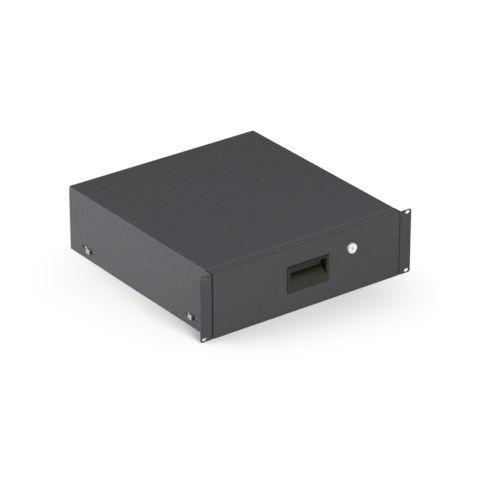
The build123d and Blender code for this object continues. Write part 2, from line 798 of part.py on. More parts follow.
nodes = {
    "case_shell": case_shell(),
    "case_floor": case_floor(),
    "rear_panel": rear_panel(),
    "floor_screws": group(floor_screw(seat) for seat in floor_screw_seats()),
    "rear_screws": rear_screws(),
    "front_plate": front_plate(),
    "drawer_front": drawer_front(),
    "drawer_tray": drawer_tray(),
    "front_studs": front_studs(),
    "front_nuts": front_nuts(),
    "pull_handle": pull_handle(),
    "lock_body": lock_body(),
    "lock_plug": lock_plug(),
    "lock_cam": lock_cam(),
    "cam_screw": cam_screw(),
    "lock_washer": lock_washer(),
    "lock_nut": lock_nut(),
}

one_slide = {
    "slide_outer": slide_outer(),
    "slide_middle": section(middle_section(), slide_y, slide_end_y),
    "slide_inner": slide_inner(),
    "outer_cage": cage(outer_cage_u, outer_ball_u, outer_ball_v),
    "inner_cage": cage(inner_cage_u, inner_ball_u, inner_ball_v),
    "outer_balls": balls(outer_ball_u, outer_ball_v),
    "inner_balls": balls(inner_ball_u, inner_ball_v),
    "slide_studs": slide_studs(),
    "slide_nuts": slide_nuts(),
    "bumper": bumper(),
    "release_lever": release_lever(),
    "lever_rivet": lever_rivet(),
    "tray_screws": tray_screws(),
}
for name, shape in one_slide.items():
    nodes["right_" + name] = shape
    nodes["left_" + name] = mirror(shape, Plane.YZ)

os.makedirs("parts", exist_ok=True)
for name, shape in nodes.items():
    export_step(shape, os.path.join("parts", name + ".step"))
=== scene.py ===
"""The looks of a lockable three-unit rack drawer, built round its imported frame.

Sizes are in metres.
"""

import logging
import math
from collections.abc import Iterable, Sequence
from dataclasses import dataclass
from enum import Enum
from functools import cache

import bmesh
import bpy
import numpy as np
from mathutils import Matrix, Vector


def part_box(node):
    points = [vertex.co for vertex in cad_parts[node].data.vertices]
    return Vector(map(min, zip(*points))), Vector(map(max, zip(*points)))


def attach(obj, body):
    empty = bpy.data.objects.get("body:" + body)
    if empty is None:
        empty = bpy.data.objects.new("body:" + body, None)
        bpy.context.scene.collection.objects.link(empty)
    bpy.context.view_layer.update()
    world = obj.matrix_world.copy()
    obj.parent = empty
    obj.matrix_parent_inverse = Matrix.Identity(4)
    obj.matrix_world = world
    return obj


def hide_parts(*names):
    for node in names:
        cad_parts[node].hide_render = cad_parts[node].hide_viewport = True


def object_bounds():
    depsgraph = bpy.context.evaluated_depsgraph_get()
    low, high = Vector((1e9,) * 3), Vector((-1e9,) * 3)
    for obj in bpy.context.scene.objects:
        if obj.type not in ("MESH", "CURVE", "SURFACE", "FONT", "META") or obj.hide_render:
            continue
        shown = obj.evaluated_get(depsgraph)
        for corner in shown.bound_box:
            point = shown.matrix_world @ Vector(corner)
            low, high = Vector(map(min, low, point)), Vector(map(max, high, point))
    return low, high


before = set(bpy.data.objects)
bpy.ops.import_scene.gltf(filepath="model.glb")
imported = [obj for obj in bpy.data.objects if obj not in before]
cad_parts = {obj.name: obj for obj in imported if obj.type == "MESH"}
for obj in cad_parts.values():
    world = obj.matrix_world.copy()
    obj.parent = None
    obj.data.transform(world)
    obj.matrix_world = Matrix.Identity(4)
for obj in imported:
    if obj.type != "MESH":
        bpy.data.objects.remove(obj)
CAD_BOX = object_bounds()

LOG = logging.getLogger("rack_drawer")
MM = 0.001
SAME_POINT = 1e-7        # points of one grid or solid that are no further apart are one
SAME_CORNER = 1e-6       # the same on a copied CAD mesh
SAME_PLANE = math.radians(0.5)
SHARP_EDGE = math.radians(32)
SOLID_ORDER_DECIMALS = 5
SMOOTH_STEP = {"interpolation_type": "SMOOTHSTEP"}
SIDES = ("left", "right")
Triple = tuple[float, float, float]
Colour = Triple
Number = "float | Value"


# Shader nodes
class Value:
    """A socket that takes part in Python arithmetic; each operator adds a Math node."""

    def __init__(self, graph: "Graph", socket: bpy.types.NodeSocket) -> None:
        """Wraps an output socket of a graph."""
        self.graph = graph
        self.socket = socket

    def __add__(self, other: Number) -> "Value":
        """This plus other."""
        return self.graph.math("ADD", self, other)

    def __radd__(self, other: Number) -> "Value":
        """Other plus this."""
        return self.graph.math("ADD", other, self)

    def __sub__(self, other: Number) -> "Value":
        """This less other."""
        return self.graph.math("SUBTRACT", self, other)

    def __rsub__(self, other: Number) -> "Value":
        """Other less this."""
        return self.graph.math("SUBTRACT", other, self)

    def __mul__(self, other: Number) -> "Value":
        """This times other."""
        return self.graph.math("MULTIPLY", self, other)

    def __pow__(self, other: Number) -> "Value":
        """This to the power of other."""
        return self.graph.math("POWER", self, other)

    def at_least(self, other: Number) -> "Value":
        """The larger of this and other."""
        return self.graph.math("MAXIMUM", self, other)

    def swing(self, width: float) -> "Value":
        """Noise about 0.5 turned into a variation about 0, times a width."""
        return (self - 0.5) * width

    def rise(self, low: float, high: float) -> "Value":
        """A smooth step, from 0 at low to 1 at high."""
        inputs = {"Value": self, "From Min": low, "From Max": high}
        return self.graph.value(self.graph.node("MapRange", SMOOTH_STEP, inputs))


class Graph:
    """The node tree of one material or of the world."""

    def __init__(self, owner: bpy.types.Material | bpy.types.World) -> None:
        """Empties the owner's node tree.

        Args:
            owner: The material or world whose nodes are made.
        """
        owner.use_nodes = True
        self.tree = owner.node_tree
        self.tree.nodes.clear()

    def node(
        self, kind: str, settings: dict | None = None, inputs: dict | None = None
    ) -> bpy.types.Node:
        """Adds a node, its settings first and then its inputs.

        Args:
            kind: The node's type without ShaderNode.
            settings: The node's own properties.
            inputs: Numbers, colours or Values by socket name or number.

        Returns:
            The new node.
        """
        made = self.tree.nodes.new("ShaderNode" + kind)
        for key, value in (settings or {}).items():
            setattr(made, key, value)
        for key, value in (inputs or {}).items():
            socket = made.inputs[key]
            if isinstance(value, Value):
                self.tree.links.new(value.socket, socket)
            else:
                socket.default_value = value
        return made

    def value(self, made: bpy.types.Node, output: int | str = 0) -> Value:
        """One output of a node as a Value."""
        return Value(self, made.outputs[output])

    def math(self, operation: str, *terms: Number) -> Value:
        """A Math node on one, two or three terms."""
        inputs = dict(enumerate(terms))
        return self.value(self.node("Math", {"operation": operation}, inputs))

    def vector(self, operation: str, *terms: "Value | Triple") -> Value:
        """A Vector Math node on its terms."""
        inputs = dict(enumerate(terms))
        return self.value(self.node("VectorMath", {"operation": operation}, inputs))

    def place(self) -> Value:
        """Where a point is on the object, in metres."""
        return self.value(self.node("TexCoord"), "Object")

    def along(self, axis: str) -> Value:
        """One coordinate of the place, by its letter."""
        parts = self.node("SeparateXYZ", None, {0: self.place()})
        return self.value(parts, axis)

    def stretched(self, factors: Triple) -> Value:
        """The place with each axis times a factor."""
        return self.vector("MULTIPLY", self.place(), factors)

    def noise(self, size: float, detail: float = 2.0, where: Value | None = None) -> Value:
        """Noise about 0.5, in spots of that size with finer layers, read at a place."""
        inputs = {"Vector": where or self.place(), "Scale": 1.0 / size, "Detail": detail}
        return self.value(self.node("TexNoise", None, inputs), "Fac")

    def cells(self, size: float) -> Value:
        """A random grey in each cell of that size, as grains of metal have."""
        inputs = {"Vector": self.place(), "Scale": 1.0 / size}
        colour = self.value(self.node("TexVoronoi", None, inputs), "Color")
        return self.value(self.node("SeparateColor", None, {0: colour}))

    def blend(self, factor: Number, low: "Value | Colour", high: "Value | Colour") -> Value:
        """The colour low where the factor is 0, going over to high where it is 1."""
        low, high = (c if isinstance(c, Value) else (*c, 1.0) for c in (low, high))
        return self.value(self.node("Mix", {"data_type": "RGBA"}, {0: factor, 6: low, 7: high}), 2)

    def bump(self, height: Value, depth: float) -> Value:
        """The normal of a relief from 0 to 1, where 1 stands for that depth in metres."""
        inputs = {"Strength": 1.0, "Distance": depth, "Height": height}
        return self.value(self.node("Bump", None, inputs))

    def sight(self) -> Value:
        """1 for rays of sight, straight, mirrored or through glass, and 0 for others."""
        path = self.node("LightPath")
        seen = self.value(path, "Is Camera Ray").at_least(self.value(path, "Is Glossy Ray"))
        return seen.at_least(self.value(path, "Is Transmission Ray"))

    def surface(self, inputs: dict) -> None:
        """Ends the tree in a Principled shader with these inputs."""
        shader = self.node("BsdfPrincipled", None, inputs)
        self.node("OutputMaterial", None, {"Surface": self.value(shader)})


# Finishes
@dataclass(frozen=True)
class Finish:
    """A finish that all pieces with it share, and the record's material slot that it stands for."""

    name: str
    colour: Colour
    slot: str | None = None

    @cache
    def material(self) -> bpy.types.Material:
        """The finish as a material, made once."""
        made = bpy.data.materials.new(self.name)
        self.build(Graph(made))
        return made

    def build(self, graph: Graph) -> None:
        """Fills the material's node tree."""
        raise NotImplementedError

    def tint(self, factor: float) -> Colour:
        """The finish's colour, lighter or darker."""
        return tuple(channel * factor for channel in self.colour)


@dataclass(frozen=True)
class PaintedFoldTone:
    """A strip along a fold at the top, painted lighter as a highlight or darker as shade."""

    front: float
    back: float
    low: float
    tone: float
    soft: float = 0.3 * MM

    def mask(self, graph: Graph) -> Value:
        """1 between front and back and above low, with soft borders, and 0 elsewhere."""
        y, z = graph.along("Y"), graph.along("Z")
        behind = y.rise(self.front - self.soft, self.front + self.soft)
        ahead = 1 - y.rise(self.back - self.soft, self.back + self.soft)
        return behind * ahead * z.rise(self.low - self.soft, self.low + self.soft)


@dataclass(frozen=True)
class PowderCoat(Finish):
    """Baked powder paint: a fine pebbled skin of light and dark grains, with painted highlights and
    shade along the folded edges.

    The sizes of pebbles, spatter and clouds are multiples of the grain. The shares are those of
    cells, pebbles and spatter in the speckle.
    """

    painted_fold_tones: tuple[PaintedFoldTone, ...] = ()
    roughness: float = 0.55
    cloud_roughness: float = 0.10
    pebble_roughness: float = 0.12
    sheen: float = 0.06
    fleck: float = 0.24
    grain: float = 1.2 * MM
    pebble_size: float = 0.8
    spatter_size: float = 3.2
    cloud_size: float = 40.0
    shares: Triple = (0.4, 0.2, 0.4)
    speck_edge: tuple[float, float] = (0.3, 0.7)
    cloud_edge: tuple[float, float] = (0.3, 0.75)
    cloud_share: float = 0.10
    cloud_tone: float = 1.2
    relief: float = 0.03 * MM

    def build(self, graph: Graph) -> None:
        """Grains, faint clouds and painted fold highlights and shade in the colour, pebbles in the
        normal.
        """
        cells = graph.cells(self.grain)
        pebbles = graph.noise(self.pebble_size * self.grain)
        spatter = graph.noise(self.spatter_size * self.grain, 5.0)
        clouds = graph.noise(self.cloud_size * self.grain, 3.0)
        of_cells, of_pebbles, of_spatter = self.shares
        speck = cells * of_cells + pebbles.rise(*self.speck_edge) * of_pebbles
        speck = speck + spatter.rise(*self.speck_edge) * of_spatter
        colour = graph.blend(speck, self.tint(1 - self.fleck), self.tint(1 + self.fleck))
        cloudy = clouds.rise(*self.cloud_edge) * self.cloud_share
        colour = graph.blend(cloudy, colour, self.tint(self.cloud_tone))
        # Painted highlights and shade: each strip along a fold lightens or darkens the colour by
        # its tone.
        for fold in self.painted_fold_tones:
            colour = graph.blend(fold.mask(graph), colour, self.tint(fold.tone))
        rough = self.roughness + clouds.swing(self.cloud_roughness)
        graph.surface({
            "Base Color": colour,
            "Roughness": rough + pebbles.swing(self.pebble_roughness),
            "Specular IOR Level": self.sheen,
            "Normal": graph.bump(pebbles, self.relief),
        })


@dataclass(frozen=True)
class PlatedSteel(Finish):
    """Bright plated steel with soft grains and drawn lines along one axis.

    The shares are those of cells, stains and lines in the tone.
    """

    roughness: float = 0.30
    stain_roughness: float = 0.16
    line_roughness: float = 0.18
    grain: float = 2.2 * MM
    stain: float = 18 * MM
    line: float = 0.5 * MM
    lines_along: int = 1
    streak: float = 0.05
    shares: Triple = (0.25, 0.5, 0.25)
    line_relief: float = 0.7
    cell_relief: float = 0.3
    tone_edge: tuple[float, float] = (0.25, 0.75)
    dark: float = 0.88
    light: float = 1.06
    relief: float = 0.008 * MM

    def build(self, graph: Graph) -> None:
        """Grains and stains in the colour, drawn lines in roughness and normal."""
        cells = graph.cells(self.grain)
        stain = graph.noise(self.stain, 4.0)
        stretch = [1.0, 1.0, 1.0]
        stretch[self.lines_along] = self.streak
        lines = graph.noise(self.line, where=graph.stretched(tuple(stretch)))
        of_cells, of_stain, of_lines = self.shares
        tone = cells * of_cells + stain * of_stain + lines * of_lines
        factor = tone.rise(*self.tone_edge)
        rough = self.roughness + stain.swing(self.stain_roughness)
        height = lines * self.line_relief + cells * self.cell_relief
        graph.surface({
            "Base Color": graph.blend(factor, self.tint(self.dark), self.tint(self.light)),
            "Metallic": 1.0,
            "Roughness": rough + lines.swing(self.line_roughness),
            "Normal": graph.bump(height, self.relief),
        })


@dataclass(frozen=True)
class PolishedMetal(Finish):
    """Polished, chromed or satin metal with faint scratches."""

    roughness: float = 0.12
    scratch_roughness: float = 0.16
    haze_roughness: float = 0.06
    metallic: float = 1.0
    haze: float = 7 * MM
    haze_edge: tuple[float, float] = (0.3, 0.8)
    haze_tone: float = 0.9
    scratch: float = 0.35 * MM
    scratch_stretch: Triple = (1.0, 0.2, 0.12)
    scratch_edge: tuple[float, float] = (0.55, 0.8)
    relief: float = 0.004 * MM

    def build(self, graph: Graph) -> None:
        """Scratches in roughness and normal, a faint haze in the colour."""
        haze = graph.noise(self.haze, 4.0)
        lines = graph.noise(self.scratch, 3.0, graph.stretched(self.scratch_stretch))
        clear = haze.rise(*self.haze_edge)
        rough = self.roughness + lines.rise(*self.scratch_edge) * self.scratch_roughness
        graph.surface({
            "Base Color": graph.blend(clear, self.tint(self.haze_tone), self.colour),
            "Metallic": self.metallic,
            "Roughness": rough + haze * self.haze_roughness,
            "Normal": graph.bump(lines, self.relief),
        })


@dataclass(frozen=True)
class CupShade:
    """Painted shade in the pull: in the corner of its slope and its upright back, on its walls and
    rim.
    """

    front: float
    foot: float
    knee: float
    wall: float
    brow: float
    mouth: float = 2.0 * MM
    knee_fade: float = 1.5 * MM
    wall_fade: float = 0.4 * MM
    brow_fade: float = 1.2 * MM
    wall_share: float = 0.7
    brow_share: float = 0.6
    slope_power: float = 1.6

    def mask(self, graph: Graph) -> Value:
        """How much painted shade there is, from 0 to 1.

        On the slope it is a smooth step of the height, from foot to knee, to a power.
        """
        height = graph.along("Z")
        inside = graph.along("Y").rise(self.front, self.front + self.mouth)
        above_knee = height.rise(self.knee, self.knee + self.knee_fade)
        slope = height.rise(self.foot, self.knee) ** self.slope_power * (1 - above_knee)
        from_middle = graph.math("ABSOLUTE", graph.along("X"))
        wall = from_middle.rise(self.wall - self.wall_fade, self.wall) * self.wall_share
        above_brow = height.rise(self.brow, self.brow + self.brow_fade)
        brow = above_brow * (1 - inside) * self.brow_share
        return (inside * slope.at_least(wall)).at_least(brow)


@dataclass(frozen=True)
class MouldedPlastic(Finish):
    """Moulded plastic with a fine sandblasted grain and rubbed high spots, and painted shade where
    a shade mask is given.
    """

    roughness: float = 0.46
    grain_roughness: float = 0.2
    rubbed_roughness: float = -0.08
    sheen: float = 0.05
    grain: float = 0.55 * MM
    grain_edge: tuple[float, float] = (0.3, 0.8)
    dark: float = 0.85
    light: float = 1.22
    rubbed: float = 22 * MM
    rubbed_edge: tuple[float, float] = (0.45, 0.75)
    rubbed_share: float = 0.25
    rubbed_tone: float = 1.3
    relief: float = 0.03 * MM
    painted_shade: CupShade | None = None
    shade_tone: float = 0.10

    def build(self, graph: Graph) -> None:
        """Grain in the normal, dust and rubbed patches in colour and roughness, and painted shade
        in the colour where a shade mask is given.
        """
        grain = graph.noise(self.grain)
        rubbed = graph.noise(self.rubbed, 3.0).rise(*self.rubbed_edge)
        factor = grain.rise(*self.grain_edge)
        colour = graph.blend(factor, self.tint(self.dark), self.tint(self.light))
        colour = graph.blend(rubbed * self.rubbed_share, colour, self.tint(self.rubbed_tone))
        # Painted shade: darkens the colour towards the shade tone where the mask is high.
        if self.painted_shade:
            colour = graph.blend(self.painted_shade.mask(graph), colour, self.tint(self.shade_tone))
        rough = self.roughness + grain.swing(self.grain_roughness)
        graph.surface({
            "Base Color": colour,
            "Roughness": rough + rubbed * self.rubbed_roughness,
            "Specular IOR Level": self.sheen,
            "Normal": graph.bump(grain, self.relief),
        })


@dataclass(frozen=True)
class Rubber(Finish):
    """Dull black rubber with a bloom of dust."""

    roughness: float = 0.78
    dust_roughness: float = 0.12
    sheen: float = 0.3
    dust: float = 5 * MM
    dust_edge: tuple[float, float] = (0.4, 0.8)
    dust_share: float = 0.5
    dust_tone: float = 2.4
    pore: float = 0.4 * MM
    relief: float = 0.05 * MM

    def build(self, graph: Graph) -> None:
        """Dust in colour and roughness, fine pores in the normal."""
        dust = graph.noise(self.dust, 4.0).rise(*self.dust_edge)
        dusty = self.tint(self.dust_tone)
        graph.surface({
            "Base Color": graph.blend(dust * self.dust_share, self.colour, dusty),
            "Roughness": self.roughness + dust * self.dust_roughness,
            "Specular IOR Level": self.sheen,
            "Normal": graph.bump(graph.noise(self.pore), self.relief),
        })


# Painted highlights along the case's top front fold and the drawer's top bend, and a painted dark
# line of shade along the front plate's top edge.
CASE_FOLD_HIGHLIGHTS = (PaintedFoldTone(front=17.2 * MM, back=20.4 * MM, low=64.0 * MM, tone=1.45),)
FRONT_FOLD_HIGHLIGHT_AND_SHADE = (
    PaintedFoldTone(front=0.3 * MM, back=3.2 * MM, low=65.0 * MM, tone=1.32),
    PaintedFoldTone(front=-2.0 * MM, back=0.2 * MM, low=65.3 * MM, tone=0.55),
)
CASE_PAINT = PowderCoat("case_powder_coat", (0.0458, 0.0449, 0.0508), painted_fold_tones=CASE_FOLD_HIGHLIGHTS)
FRONT_PAINT = PowderCoat(
    "front_powder_coat", (0.0475, 0.0455, 0.0495), "front_paint", painted_fold_tones=FRONT_FOLD_HIGHLIGHT_AND_SHADE, fleck=0.10
)
TRAY_PAINT = PowderCoat("tray_powder_coat", (0.0470, 0.0455, 0.0510))
ZINC = PlatedSteel("bright_zinc", (0.60, 0.61, 0.62), "zinc", roughness=0.18)
CAGE_STEEL = PlatedSteel("cage_strip_steel", (0.56, 0.56, 0.56), roughness=0.22, grain=1.2 * MM)
NUT_ZINC = PlatedSteel(
    "nut_bright_zinc", (0.53, 0.54, 0.555), "nut_zinc", roughness=0.10, grain=1.4 * MM,
    lines_along=2, relief=0.003 * MM,
)
BALL_STEEL = PolishedMetal("polished_ball_steel", (0.72, 0.72, 0.73), roughness=0.08)
LOCK_CHROME = PolishedMetal(
    "satin_lock_chrome", (0.69, 0.70, 0.71), "lock_chrome", roughness=0.28, metallic=0.45
)
# The wafers' brass is near-black as painted shade deep in the keyway.
SHADE_DARK_WAFER_BRASS = PolishedMetal(
    "shade_dark_wafer_brass", (0.050, 0.040, 0.026), "black_screws", roughness=0.45
)
# Painted shade in the pull: darker at the top of its slope, on its side walls and on the rim's top
# band.
PULL_SHADE = CupShade(front=0.0, foot=-12.5 * MM, knee=3.5 * MM, wall=41.8 * MM, brow=25.2 * MM)
HANDLE_PLASTIC = MouldedPlastic(
    "handle_moulding", (0.0265, 0.0253, 0.0200), "handle_plastic", painted_shade=PULL_SHADE
)
LEVER_PLASTIC = MouldedPlastic(
    "lever_moulding", (0.024, 0.024, 0.026), "lever_plastic", roughness=0.40
)
BUMPER_RUBBER = Rubber("bumper_black_rubber", (0.020, 0.020, 0.021), "bumper_rubber")
BLACK_SCREWS = PolishedMetal(
    "blackened_screws", (0.085, 0.085, 0.09), "black_screws", roughness=0.34
)


# Meshes
def around(count: int) -> np.ndarray:
    """That many directions round an axis, in radians."""
    return np.linspace(0, 2 * np.pi, count, endpoint=False)


@dataclass
class Patch:
    """A grid of points whose last column joins the first, and the last row too if it wraps."""

    points: np.ndarray
    wrap_rows: bool = False

    def faces(self) -> np.ndarray:
        """The grid's quads as rows of four point numbers."""
        rows, columns = self.points.shape[:2]
        starts = np.arange(rows if self.wrap_rows else rows - 1)
        r, c = np.meshgrid(starts, np.arange(columns), indexing="ij")
        next_r = (r + 1) % rows
        next_c = (c + 1) % columns
        corners = ((r, c), (r, next_c), (next_r, next_c), (next_r, c))
        return np.stack([a * columns + b for a, b in corners], axis=-1).reshape(-1, 4)


def merged(mesh: bpy.types.Mesh, distance: float) -> bmesh.types.BMesh:
    """A mesh's shape, in which points that are no further apart than that are one."""
    shape = bmesh.new()
    shape.from_mesh(mesh)
    bmesh.ops.remove_doubles(shape, verts=shape.verts, dist=distance)
    return shape


def placed(name: str, data: bpy.types.ID) -> bpy.types.Object:
    """A new object in the scene, at the origin."""
    made = bpy.data.objects.new(name, data)
    bpy.context.scene.collection.objects.link(made)
    return made


def piece(
    name: str, patches: Iterable[Patch], finish: Finish, angle: float = 40.0
) -> bpy.types.Object:
    """A closed mesh object from grids of points.

    Args:
        name: The piece's name.
        patches: The grids, whose shared borders are merged.
        finish: The finish that it gets.
        angle: Faces that meet at less than this many degrees are shaded smoothly.

    Returns:
        The object, at the origin, with its faces pointing outwards.
    """
    points, quads, start = [], [], 0
    for patch in patches:
        points.append(patch.points.reshape(-1, 3))
        quads.append(patch.faces() + start)
        start += len(points[-1])
    mesh = bpy.data.meshes.new(name)
    mesh.from_pydata(np.concatenate(points).tolist(), [], np.concatenate(quads).tolist())
    shape = merged(mesh, SAME_POINT)
    bmesh.ops.dissolve_degenerate(shape, edges=shape.edges, dist=SAME_POINT)
    bmesh.ops.recalc_face_normals(shape, faces=shape.faces)
    shape.to_mesh(mesh)
    shape.free()
    made = placed(name, mesh)
    mesh.materials.append(finish.material())
    mesh.shade_smooth()
    mesh.set_sharp_from_angle(angle=math.radians(angle))
    return made


@dataclass(frozen=True)
class Axes:
    """A local frame for a turned part: where it starts and the way that its height goes."""

    origin: Triple
    height: Triple
    across: Triple

    def put(self, radius: np.ndarray, angle: np.ndarray, height: np.ndarray) -> np.ndarray:
        """Cylinder coordinates as points.

        Args:
            radius: Distance from the axis.
            angle: Turn from the across direction, in radians.
            height: Distance along the axis.

        Returns:
            The points, with one more array axis of length three.
        """
        up = np.array(self.height, float)
        side = np.array(self.across, float)
        other = np.cross(up, side)
        flat = (radius * np.cos(angle))[..., None] * side
        flat = flat + (radius * np.sin(angle))[..., None] * other
        return np.array(self.origin, float) + flat + height[..., None] * up


class Facing(Enum):
    """The ways that fasteners on this drawer point, as height and across directions."""

    FRONT = ((0, -1, 0), (1, 0, 0))
    BACK = ((0, 1, 0), (-1, 0, 0))
    LEFT = ((-1, 0, 0), (0, -1, 0))
    RIGHT = ((1, 0, 0), (0, 1, 0))
    DOWN = ((0, 0, -1), (1, 0, 0))

    def at(self, origin: Sequence[float]) -> Axes:
        """The local frame of a fastener that starts at a point and points this way."""
        return Axes(tuple(origin), *self.value)


def turned(axes: Axes, profile: Sequence[tuple[float, float]], segments: int = 40) -> Patch:
    """A profile of radius and height carried round an axis.

    Args:
        axes: The local frame.
        profile: Radii and heights in order; it may end on the axis.
        segments: Steps round the axis.

    Returns:
        The grid.
    """
    radius, height = np.array(profile, float).T
    angle = around(segments)
    r, a = np.meshgrid(radius, angle, indexing="ij")
    h = np.broadcast_to(height[:, None], r.shape)
    return Patch(axes.put(r, a, h))


def polygon_radius(angle: np.ndarray, flats: float, sides: int, soft: float) -> np.ndarray:
    """The radius of a polygon with softened corners.

    It is the flat's distance over the cosine of the angle from the nearest flat's middle, held
    below the corner's radius less the softening.

    Args:
        angle: Directions from the centre.
        flats: Distance between opposite flats.
        sides: How many flats there are.
        soft: How much of the corner's reach is rounded off.

    Returns:
        The radii.
    """
    half = np.pi / sides
    local = (angle + half) % (2 * half) - half
    reach = flats / 2 / np.cos(local)
    limit = flats / 2 / np.cos(half) - soft
    return np.minimum(reach, limit)


@dataclass
class CrossScrew:
    """A screw with a cross recess in a domed or flat head.

    The arms of the recess are given as shares of the head's radius: half their width, the run of
    their side walls, their reach and the run of their end walls.
    """

    head_radius: float = 3.0 * MM
    head_height: float = 2.0 * MM
    shank_radius: float = 1.5 * MM
    length: float = 7.0 * MM
    dome: float = 0.5
    recess: float = 1.1 * MM
    sunk: float = 0.0
    arm_half: float = 0.16
    arm_wall: float = 0.07
    arm_reach: float = 0.62
    arm_end: float = 0.22
    edge_share: float = 0.12
    tip_share: float = 0.25
    rings: int = 26
    columns: int = 64

    def relief(self, r: np.ndarray, a: np.ndarray) -> np.ndarray:
        """The head's height: a dome that falls with the radius squared, less a cross-shaped pit.

        Args:
            r: Distance from the axis.
            a: Turn round the axis.

        Returns:
            The height of the head's top.
        """
        dome = self.head_height * (1 - self.dome * (r / self.head_radius) ** 2)
        x, y = np.abs(r * np.cos(a)), np.abs(r * np.sin(a))
        narrow, wide = np.minimum(x, y), np.maximum(x, y)
        arm = np.clip((self.arm_half - narrow / self.head_radius) / self.arm_wall, 0, 1)
        end = np.clip((self.arm_reach - wide / self.head_radius) / self.arm_end, 0, 1)
        return dome - self.recess * arm * end

    def build(self, axes: Axes) -> list[Patch]:
        """The screw's grids: the shank from its tip up and the head above it."""
        radius = np.linspace(0, self.head_radius, self.rings)
        angle = around(self.columns)
        r, a = np.meshgrid(radius, angle, indexing="ij")
        top = Patch(axes.put(r, a, self.length + self.relief(r, a)))
        rim = float(self.relief(np.array(self.head_radius), np.array(np.pi / 4)))
        edge = self.edge_share * self.head_height
        tip = self.tip_share * self.shank_radius
        under = turned(axes, [
            (self.head_radius, self.length + rim),
            (self.head_radius, self.length + edge),
            (self.head_radius - edge, self.length),
            (self.shank_radius, self.length - self.sunk),
            (self.shank_radius, tip), (self.shank_radius - tip, 0), (0, 0),
        ], self.columns)
        return [top, under]


@dataclass
class ThreadedStud:
    """A stud with a screw thread at its outer end and a flat head at its foot."""

    radius: float
    length: float
    head_radius: float
    head_height: float
    thread: float = 6.6 * MM
    pitch: float = 0.8 * MM
    groove: float = 0.42 * MM
    groove_power: float = 1.3
    tip: float = 0.3 * MM
    rings_a_turn: int = 10
    columns: int = 36

    def build(self, axes: Axes) -> list[Patch]:
        """The stud's grids.

        The thread's radius falls from the crest by a rounded groove whose phase is the height over
        the pitch less the turn. It fades at both ends.
        """
        start = self.length - self.thread
        height = np.linspace(start, self.length, int(self.thread / self.pitch * self.rings_a_turn))
        angle = around(self.columns)
        h, a = np.meshgrid(height, angle, indexing="ij")
        phase = h / self.pitch - a / (2 * np.pi)
        fade = np.clip((h - start) / self.pitch, 0, 1)
        tip = np.clip((h - self.length + 0.5 * self.pitch) / (0.5 * self.pitch), 0, 1)
        cut = self.groove * (0.5 - 0.5 * np.cos(2 * np.pi * phase)) ** self.groove_power
        thread = Patch(axes.put(self.radius - fade * cut - self.tip * tip, a, h))
        foot = turned(axes, [
            (0, 0), (self.head_radius, 0), (self.head_radius, self.head_height),
            (self.radius, self.head_height), (self.radius, start),
        ], self.columns)
        last = thread.points[-1]
        centre = np.broadcast_to(last.mean(axis=0), last.shape)
        return [foot, thread, Patch(np.stack([last, centre]))]


@dataclass
class FlatSidedNut:
    """A square or six-sided nut with chamfered corners and a round bore."""

    flats: float
    height: float
    bore: float
    sides: int = 6
    turn: float = 30.0
    round_face: bool = True
    chamfer: float = 0.55 * MM
    soft: float = 0.35 * MM
    lip: float = 0.3 * MM
    face_inset: float = 0.2 * MM
    corner_drop: float = 0.06 * MM
    foot_edge: float = 0.12 * MM
    columns_a_side: int = 24

    def build(self, axes: Axes) -> list[Patch]:
        """The nut as one grid: rings from the bore over the face, down the flats and back below."""
        count = self.columns_a_side * self.sides
        angle = around(count)
        flat = polygon_radius(angle - math.radians(self.turn), self.flats, self.sides, self.soft)
        bore = np.full(count, self.bore)
        face = flat - self.chamfer
        if self.round_face:
            face = np.full(count, self.flats / 2 - self.face_inset)
        rings = [
            (bore, 0.0),
            (bore, self.height - self.lip),
            (bore + self.lip, self.height),
            (face, self.height),
            (np.minimum(flat, face + self.chamfer), self.height - 0.25 * self.chamfer),
            (flat - self.corner_drop, self.height - 0.75 * self.chamfer),
            (flat, self.height - self.chamfer),
            (flat, self.foot_edge),
            (flat - self.foot_edge, 0.0),
        ]
        r = np.stack([ring for ring, _ in rings])
        h = np.stack([np.full(count, level) for _, level in rings])
        a = np.broadcast_to(angle, r.shape)
        return [Patch(axes.put(r, a, h), wrap_rows=True)]


Fastener = CrossScrew | ThreadedStud | FlatSidedNut


# Sub-assemblies
def dress(finish: Finish, *nodes: str) -> None:
    """Gives CAD nodes a finish."""
    for node in nodes:
        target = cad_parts[node]
        target.data.materials.clear()
        target.data.materials.append(finish.material())
        LOG.info("%s: %s", node, finish.name)


def stand_in(made: bpy.types.Object, body: str, slot: str, *nodes: str) -> None:
    """Seats a new piece on what carries it.

    Args:
        made: The piece.
        body: The CAD body that it moves with.
        slot: The record's material slot; not used.
        nodes: The CAD nodes that it replaces.
    """
    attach(made, body)
    if nodes:
        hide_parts(*nodes)
    LOG.info("%s: %d faces", made.name, len(made.data.polygons))


def solids(node: str) -> list[tuple[np.ndarray, np.ndarray]]:
    """The lowest and highest corner of each separate solid in a node, in order of the lowest."""
    shape = merged(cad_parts[node].data, SAME_POINT)
    unseen = set(shape.verts)
    boxes = []
    while unseen:
        reached, waiting = set(), [next(iter(unseen))]
        while waiting:
            vertex = waiting.pop()
            if vertex not in reached:
                reached.add(vertex)
                waiting.extend(edge.other_vert(vertex) for edge in vertex.link_edges)
        unseen -= reached
        places = np.array([v.co[:] for v in reached])
        boxes.append((places.min(axis=0), places.max(axis=0)))
    shape.free()
    return sorted(boxes, key=lambda box: tuple(np.round(box[0], SOLID_ORDER_DECIMALS)))


def fasteners(node: str, facing: Facing) -> list[Axes]:
    """A local frame for each solid of a node.

    Args:
        node: The CAD node that holds the fasteners.
        facing: The way that they point.

    Returns:
        The frames, each in the middle of a solid's lower end.
    """
    way = np.array(facing.value[0], float)
    made = []
    for low, high in solids(node):
        middle = (low + high) / 2
        made.append(facing.at(middle - way * (np.abs(way) @ (high - low)) / 2))
    return made


